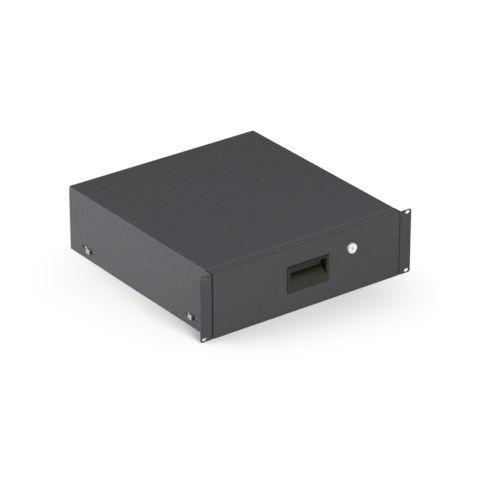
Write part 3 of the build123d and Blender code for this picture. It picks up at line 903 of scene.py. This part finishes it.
def refit(
    node: str, name: str, fastener: Fastener, facing: Facing, finish: Finish, body: str
) -> None:
    """Stands a detailed fastener in for each solid of a CAD node.

    Args:
        node: The CAD node.
        name: The new piece's name.
        fastener: The fastener that each solid becomes.
        facing: The way that they point.
        finish: Their finish.
        body: The body that they move with.
    """
    patches = [patch for axes in fasteners(node, facing) for patch in fastener.build(axes)]
    stand_in(piece(name, patches, finish), body, finish.slot, node)


def soften(node: str, name: str, width: float, finish: Finish, body: str) -> None:
    """Stands a copy of a CAD node's mesh with its sharp edges rounded in for the node.

    Args:
        node: The CAD node.
        name: The new piece's name.
        width: How wide the rounding is.
        finish: Its finish.
        body: The body that it moves with.
    """
    shape = merged(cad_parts[node].data, SAME_CORNER)
    bmesh.ops.dissolve_limit(
        shape, angle_limit=SAME_PLANE, verts=shape.verts, edges=shape.edges, delimit={"NORMAL"}
    )
    bmesh.ops.recalc_face_normals(shape, faces=shape.faces)
    mesh = bpy.data.meshes.new(name)
    shape.to_mesh(mesh)
    shape.free()
    mesh.materials.append(finish.material())
    mesh.shade_smooth()
    made = placed(name, mesh)
    bevel = made.modifiers.new("rounded_edges", "BEVEL")
    bevel.width = width
    bevel.segments = 3
    bevel.limit_method = "ANGLE"
    bevel.angle_limit = SHARP_EDGE
    bevel.use_clamp_overlap = True
    bevel.miter_outer = "MITER_ARC"
    bevel.harden_normals = True
    stand_in(made, body, finish.slot, node)


@dataclass
class Case:
    """The folded case with its floor, its rear panel and their screws."""

    rear_screw: CrossScrew
    floor_screw: CrossScrew

    def build(self) -> None:
        """Paints the sheets and seats the screws."""
        dress(CASE_PAINT, "case_shell", "case_floor", "rear_panel")
        refit(
            "rear_screws", "rear_cross_screws", self.rear_screw, Facing.BACK, BLACK_SCREWS, "case"
        )
        refit(
            "floor_screws", "floor_cross_screws", self.floor_screw, Facing.DOWN, BLACK_SCREWS,
            "case",
        )


@dataclass
class Drawer:
    """The painted front, the tray and what holds them together."""

    stud: ThreadedStud
    nut: FlatSidedNut
    tray_screw: CrossScrew
    plate_edge: float = 0.5 * MM

    def build(self) -> None:
        """Paints front and tray and seats the studs, nuts and screws."""
        dress(FRONT_PAINT, "drawer_front")
        soften("front_plate", "front_flat_plate", self.plate_edge, FRONT_PAINT, "drawer")
        dress(TRAY_PAINT, "drawer_tray")
        refit("front_studs", "front_threaded_studs", self.stud, Facing.BACK, ZINC, "drawer")
        refit("front_nuts", "front_hex_nuts", self.nut, Facing.BACK, ZINC, "drawer")
        for side, facing in zip(SIDES, (Facing.RIGHT, Facing.LEFT)):
            refit(
                side + "_tray_screws", side + "_tray_cross_screws", self.tray_screw, facing,
                NUT_ZINC, "drawer",
            )


@dataclass
class PullHandle:
    """The moulded cup with its flat rim."""

    edge: float = 0.45 * MM

    def build(self) -> None:
        """Rounds the moulding's edges."""
        soften("pull_handle", "moulded_pull", self.edge, HANDLE_PLASTIC, "drawer")


@dataclass
class LockBarrel:
    """The lock's threaded barrel and its notched collar."""

    collar: float = 10.0 * MM
    proud: float = 5.4 * MM
    chamfer: float = 0.5 * MM
    notch_depth: float = 1.8 * MM
    notch_floor: float = 0.3 * MM
    notch_width: float = 2.0 * MM
    notch_first: float = 60.0
    notch_count: int = 4
    bore: float = 6.05 * MM
    bore_edge: float = 0.35 * MM
    radius: float = 9.0 * MM
    flats: float = 16.0 * MM
    length: float = 20.85 * MM
    pitch: float = 1.25 * MM
    groove: float = 0.55 * MM
    columns: int = 360
    rings_a_turn: int = 9
    smooth_below: float = 30.0

    def collar_rings(self, angle: np.ndarray) -> tuple[np.ndarray, np.ndarray]:
        """The collar's rings from the bore over the face and down the rim.

        A column within a notch keeps to the notch's floor outside the notch's inner end.

        Args:
            angle: The columns' directions.

        Returns:
            Radii and heights, a row for each ring.
        """
        step = 360 / self.notch_count
        turn = (np.degrees(angle) - self.notch_first + step / 2) % step - step / 2
        half = math.degrees(math.asin(self.notch_width / 2 / self.collar))
        notched = np.abs(turn) < half
        inner = self.collar - self.notch_depth
        rings = [
            (self.bore, self.proud - self.bore_edge, False),
            (self.bore + self.bore_edge, self.proud, False),
            (inner, self.proud, False),
            (inner, self.proud, True),
            (self.collar - self.chamfer, self.proud, True),
            (self.collar, self.proud - self.chamfer, True),
            (self.collar, 0.0, False),
        ]
        radius = np.stack([np.full(angle.shape, r) for r, _, _ in rings])
        height = np.stack([
            np.where(notched & cut, self.notch_floor, level) for _, level, cut in rings
        ])
        return radius, height

    def barrel_rings(self, angle: np.ndarray) -> tuple[np.ndarray, np.ndarray]:
        """The barrel's rings: a thread, held back to two flats.

        The thread's radius is the barrel's less a rounded groove whose phase is the height over the
        pitch less the turn. The flats lie at half their distance over the sine of the angle.

        Args:
            angle: The columns' directions.

        Returns:
            Radii and heights, a row for each ring.
        """
        level = np.linspace(0, -self.length, int(self.length / self.pitch * self.rings_a_turn))
        height, a = np.meshgrid(level, angle, indexing="ij")
        phase = height / self.pitch - a / (2 * np.pi)
        fade = np.clip(-height / self.pitch, 0, 1)
        fade = fade * np.clip((height + self.length) / self.pitch, 0, 1)
        thread = self.radius - fade * self.groove * (0.5 - 0.5 * np.cos(2 * np.pi * phase))
        never_zero = 1e-3
        flat = self.flats / 2 / np.maximum(np.abs(np.sin(a)), never_zero)
        return np.minimum(thread, flat), height

    def build(self, centre: Sequence[float]) -> None:
        """Builds the body round the plug's axis.

        Args:
            centre: Where the axis meets the back of the collar.
        """
        angle = around(self.columns)
        ring = np.ones((1, self.columns))
        end = (self.bore * ring, -self.length * ring)
        parts = (self.collar_rings(angle), self.barrel_rings(angle), end)
        radius = np.concatenate([radii for radii, _ in parts])
        height = np.concatenate([heights for _, heights in parts])
        angles = np.broadcast_to(angle, radius.shape)
        patch = Patch(Facing.FRONT.at(centre).put(radius, angles, height), wrap_rows=True)
        made = piece("lock_notched_body", [patch], LOCK_CHROME, self.smooth_below)
        stand_in(made, "drawer", LOCK_CHROME.slot, "lock_body")


@dataclass
class CamLock:
    """The cam lock in the drawer front."""

    barrel: LockBarrel
    nut: FlatSidedNut
    screw: CrossScrew
    plug_edge: float = 0.22 * MM
    cam_edge: float = 0.25 * MM
    wafer_half: tuple[float, float] = (0.74 * MM, 3.4 * MM)
    wafer_depths: tuple[float, float] = (0.9 * MM, 9.6 * MM)
    wafer_count: int = 6
    wafer_gap: float = 0.86
    wafer_columns: int = 48

    def wafers(self, face: Sequence[float]) -> Patch:
        """The stack of wafers that fills the keyway, as rings along its depth.

        Each ring is a superellipse of the fourth degree. Its size steps between a wafer and the gap
        after it.

        Args:
            face: Where the plug's axis meets its face.

        Returns:
            The closed grid.
        """
        angle = around(self.wafer_columns)
        x = np.sign(np.cos(angle)) * np.abs(np.cos(angle)) ** 0.5 * self.wafer_half[0]
        z = np.sign(np.sin(angle)) * np.abs(np.sin(angle)) ** 0.5 * self.wafer_half[1]
        stops = np.linspace(*self.wafer_depths, 4 * self.wafer_count)
        size = np.tile((1.0, 1.0, self.wafer_gap, self.wafer_gap), self.wafer_count)
        depth = np.concatenate((stops[:1], stops, stops[-1:]))
        size = np.concatenate(((0.0,), size, (0.0,)))
        flat = np.stack((x, np.zeros_like(x), z), axis=-1)
        rings = size[:, None, None] * flat + depth[:, None, None] * np.array((0.0, 1.0, 0.0))
        return Patch(rings + np.array(face))

    def build(self) -> None:
        """Builds the body, the nut and the screw, and rounds the plug and the cam."""
        low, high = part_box("lock_body")
        plug_low, plug_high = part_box("lock_plug")
        x, z = (plug_low.x + plug_high.x) / 2, (plug_low.z + plug_high.z) / 2
        self.barrel.build((x, low.y + self.barrel.proud, z))
        soften("lock_plug", "lock_keyed_plug", self.plug_edge, LOCK_CHROME, "lock_core")
        wafers = self.wafers((x, plug_low.y, z))
        stand_in(piece("keyway_wafers", [wafers], SHADE_DARK_WAFER_BRASS), "lock_core", SHADE_DARK_WAFER_BRASS.slot)
        soften("lock_cam", "lock_flat_cam", self.cam_edge, ZINC, "lock_core")
        dress(ZINC, "lock_washer")
        refit("lock_nut", "lock_hex_nut", self.nut, Facing.BACK, LOCK_CHROME, "drawer")
        refit("cam_screw", "cam_cross_screw", self.screw, Facing.BACK, ZINC, "lock_core")


@dataclass
class SlotHardware:
    """The threaded studs and square nuts in the side slots."""

    stud: ThreadedStud
    nut_flats: float = 10.6 * MM
    nut_height: float = 5.2 * MM
    nut_bore: float = 2.55 * MM
    turns: tuple[float, float] = (4.0, 14.0)

    def build(self, side: str) -> None:
        """Builds one side's studs and nuts."""
        facing, sense = (Facing.RIGHT, 1) if side == "right" else (Facing.LEFT, -1)
        refit(
            side + "_slide_studs", side + "_threaded_studs", self.stud, facing, NUT_ZINC, "case"
        )
        nuts = []
        for axes, turn in zip(fasteners(side + "_slide_nuts", facing), self.turns):
            nut = FlatSidedNut(
                self.nut_flats, self.nut_height, self.nut_bore, sides=4, turn=sense * turn,
                round_face=False,
            )
            nuts.extend(nut.build(axes))
        made = piece(side + "_square_nuts", nuts, NUT_ZINC)
        stand_in(made, "case", NUT_ZINC.slot, side + "_slide_nuts")


@dataclass
class Slide:
    """One telescopic slide with its balls, cages, bumper and release lever."""

    bumper_edge: float = 0.4 * MM
    lever_edge: float = 0.3 * MM

    def build(self, side: str) -> None:
        """Dresses one side's slide."""
        steel = ("_slide_outer", "_slide_middle", "_slide_inner", "_lever_rivet")
        dress(ZINC, *(side + part for part in steel))
        dress(CAGE_STEEL, side + "_outer_cage", side + "_inner_cage")
        dress(BALL_STEEL, side + "_outer_balls", side + "_inner_balls")
        soften(
            side + "_bumper", side + "_rubber_bumper", self.bumper_edge, BUMPER_RUBBER, "case"
        )
        soften(
            side + "_release_lever", side + "_moulded_lever", self.lever_edge, LEVER_PLASTIC,
            side + "_lever",
        )


# Studio
def viewpoint(azimuth: float, elevation: float) -> tuple[np.ndarray, np.ndarray]:
    """The way from the drawer to a viewpoint and the level way to its right.

    Args:
        azimuth: Turn from the front towards the right side, in degrees.
        elevation: Height above the level, in degrees.

    Returns:
        The two ways, each of length 1.
    """
    a, e = math.radians(azimuth), math.radians(elevation)
    way = np.array((math.sin(a) * math.cos(e), -math.cos(a) * math.cos(e), math.sin(e)))
    return way, np.array((math.cos(a), math.sin(a), 0.0))


def look_back(way: np.ndarray, right: np.ndarray, place: Sequence[float]) -> Matrix:
    """The pose at a place of what looks against the way, level to the right."""
    pose = np.eye(4)
    pose[:3] = np.stack((right, np.cross(way, right), way, place), axis=1)
    return Matrix(pose.tolist())


@dataclass(frozen=True)
class PhotoCamera:
    """The camera as fitted to the photograph, in metres and degrees."""

    place: Triple = (-2.97493, -3.84160, 2.45701)
    azimuth: float = -36.518016
    elevation: float = 26.362862
    lens: float = 214.96
    sensor: float = 36.0
    clip: tuple[float, float] = (0.1, 60.0)

    def build(self) -> None:
        """Sets the camera up level, looking down at the drawer."""
        data = bpy.data.cameras.new("photo_camera")
        data.lens, data.sensor_width = self.lens, self.sensor
        data.clip_start, data.clip_end = self.clip
        made = placed("photo_camera", data)
        made.matrix_world = look_back(*viewpoint(self.azimuth, self.elevation), self.place)
        bpy.context.scene.camera = made


@dataclass(frozen=True)
class Lamp:
    """A soft oblong lamp that looks at the drawer."""

    name: str
    azimuth: float
    elevation: float
    width: float
    level: float
    height: float = 0.5
    distance: float = 2.6
    colour: Colour = (1.0, 1.0, 1.0)

    def build(self, target: Sequence[float]) -> None:
        """Hangs the lamp.

        Its power is pi squared times the distance squared times the level that it lights a facing
        sheet of white to.

        Args:
            target: The point that it looks at.
        """
        data = bpy.data.lights.new(self.name, "AREA")
        data.shape, data.size, data.size_y = "RECTANGLE", self.width, self.height
        data.energy = math.pi**2 * self.distance**2 * self.level
        data.color = self.colour
        way, right = viewpoint(self.azimuth, self.elevation)
        made = placed(self.name, data)
        made.matrix_world = look_back(way, right, np.array(target) + way * self.distance)


@dataclass(frozen=True)
class Studio:
    """The pale floor, the soft lamps and the plain surroundings."""

    lamps: tuple[Lamp, ...]
    surround: float = 0.385
    floor_radii: tuple[float, float] = (0.2, 12.0)
    floor_rings: int = 12
    floor_columns: int = 48
    floor_albedo: float = 0.785
    shadow_centre: tuple[float, float] = (-0.07, 0.15)
    shadow_half: tuple[float, float] = (0.147, 0.14)
    shadow_reach: float = 0.22

    def build(self) -> None:
        """Lays the floor, hangs the lamps and sets the surroundings."""
        low, high = CAD_BOX
        centre = (low + high) / 2
        radii = np.concatenate(([0.0], np.geomspace(*self.floor_radii, self.floor_rings)))
        axes = Axes((centre.x, centre.y, low.z), (0, 0, 1), (1, 0, 0))
        disc = turned(axes, [(radius, 0.0) for radius in radii], self.floor_columns)
        paper = FloorPaper("floor_paper", (self.floor_albedo,) * 3, studio=self, level=low.z)
        piece("floor", [disc], paper)
        for lamp in self.lamps:
            lamp.build(centre)
        world = bpy.data.worlds.new("surroundings")
        bpy.context.scene.world = world
        graph = Graph(world)
        strength = self.surround + graph.sight() * (1 - self.surround)
        shader = graph.node("Background", None, {"Color": (1, 1, 1, 1), "Strength": strength})
        graph.node("OutputWorld", None, {"Surface": graph.value(shader)})
        bpy.context.scene.view_settings.view_transform = "Standard"


@dataclass(frozen=True, kw_only=True)
class FloorPaper(Finish):
    """White paper, lifted to pure white for rays of sight, but for the drawer's shadow."""

    studio: Studio
    level: float

    def build(self, graph: Graph) -> None:
        """Mixes lit paper with white for rays of sight, fully so away from the drawer.

        The distance is that from an oblong: the length of what is left of the offset from its
        centre, made positive, once its half sizes are taken off and what is below 0 is left out.
        """
        centre = (*self.studio.shadow_centre, self.level)
        offset = graph.vector("ABSOLUTE", graph.vector("SUBTRACT", graph.place(), centre))
        beyond = graph.vector("SUBTRACT", offset, (*self.studio.shadow_half, 0.0))
        outside = graph.vector("MAXIMUM", beyond, (0.0, 0.0, 0.0))
        away = graph.value(graph.node("VectorMath", {"operation": "LENGTH"}, {0: outside}), "Value")
        lift = graph.sight() * away.rise(0.0, self.studio.shadow_reach)
        paper = graph.value(graph.node("BsdfDiffuse", None, {"Color": (*self.colour, 1.0)}))
        glow = {"Color": (1, 1, 1, 1), "Strength": 1.0}
        white = graph.value(graph.node("Emission", None, glow))
        mixed = graph.value(graph.node("MixShader", None, {0: lift, 1: paper, 2: white}))
        graph.node("OutputMaterial", None, {"Surface": mixed})


def main() -> None:
    """Builds and dresses the drawer, its studio and its camera."""
    logging.basicConfig(level=logging.INFO, format="%(message)s")
    PhotoCamera().build()
    warm = (1.0, 0.975, 0.925)
    Studio((
        Lamp("left_lamp", azimuth=-118.0, elevation=7.0, width=2.0, level=1.98, colour=warm),
        Lamp(
            "front_lamp", azimuth=-12.0, elevation=31.0, width=1.6, level=1.03, height=0.8,
            distance=3.2,
        ),
        Lamp("right_lamp", azimuth=116.0, elevation=1.0, width=1.2, level=0.32),
    )).build()
    Case(
        rear_screw=CrossScrew(),
        floor_screw=CrossScrew(head_height=0.0, length=5.0 * MM, dome=0.0, sunk=1.5 * MM),
    ).build()
    Drawer(
        stud=ThreadedStud(
            radius=2.0 * MM, length=8.0 * MM, head_radius=2.0 * MM, head_height=0.5 * MM,
            pitch=0.7 * MM,
        ),
        nut=FlatSidedNut(flats=7.0 * MM, height=3.2 * MM, bore=2.05 * MM),
        tray_screw=CrossScrew(
            head_radius=3.4 * MM, head_height=2.2 * MM, shank_radius=1.6 * MM, length=6.0 * MM
        ),
    ).build()
    PullHandle().build()
    CamLock(
        barrel=LockBarrel(),
        nut=FlatSidedNut(flats=22.0 * MM, height=4.0 * MM, bore=9.05 * MM),
        screw=CrossScrew(head_radius=5.5 * MM),
    ).build()
    hardware = SlotHardware(ThreadedStud(
        radius=2.5 * MM, length=8.9 * MM, head_radius=4.0 * MM, head_height=0.6 * MM
    ))
    slide = Slide()
    for side in SIDES:
        hardware.build(side)
        slide.build(side)
    bpy.context.view_layer.update()


if __name__ == "__main__":
    main()
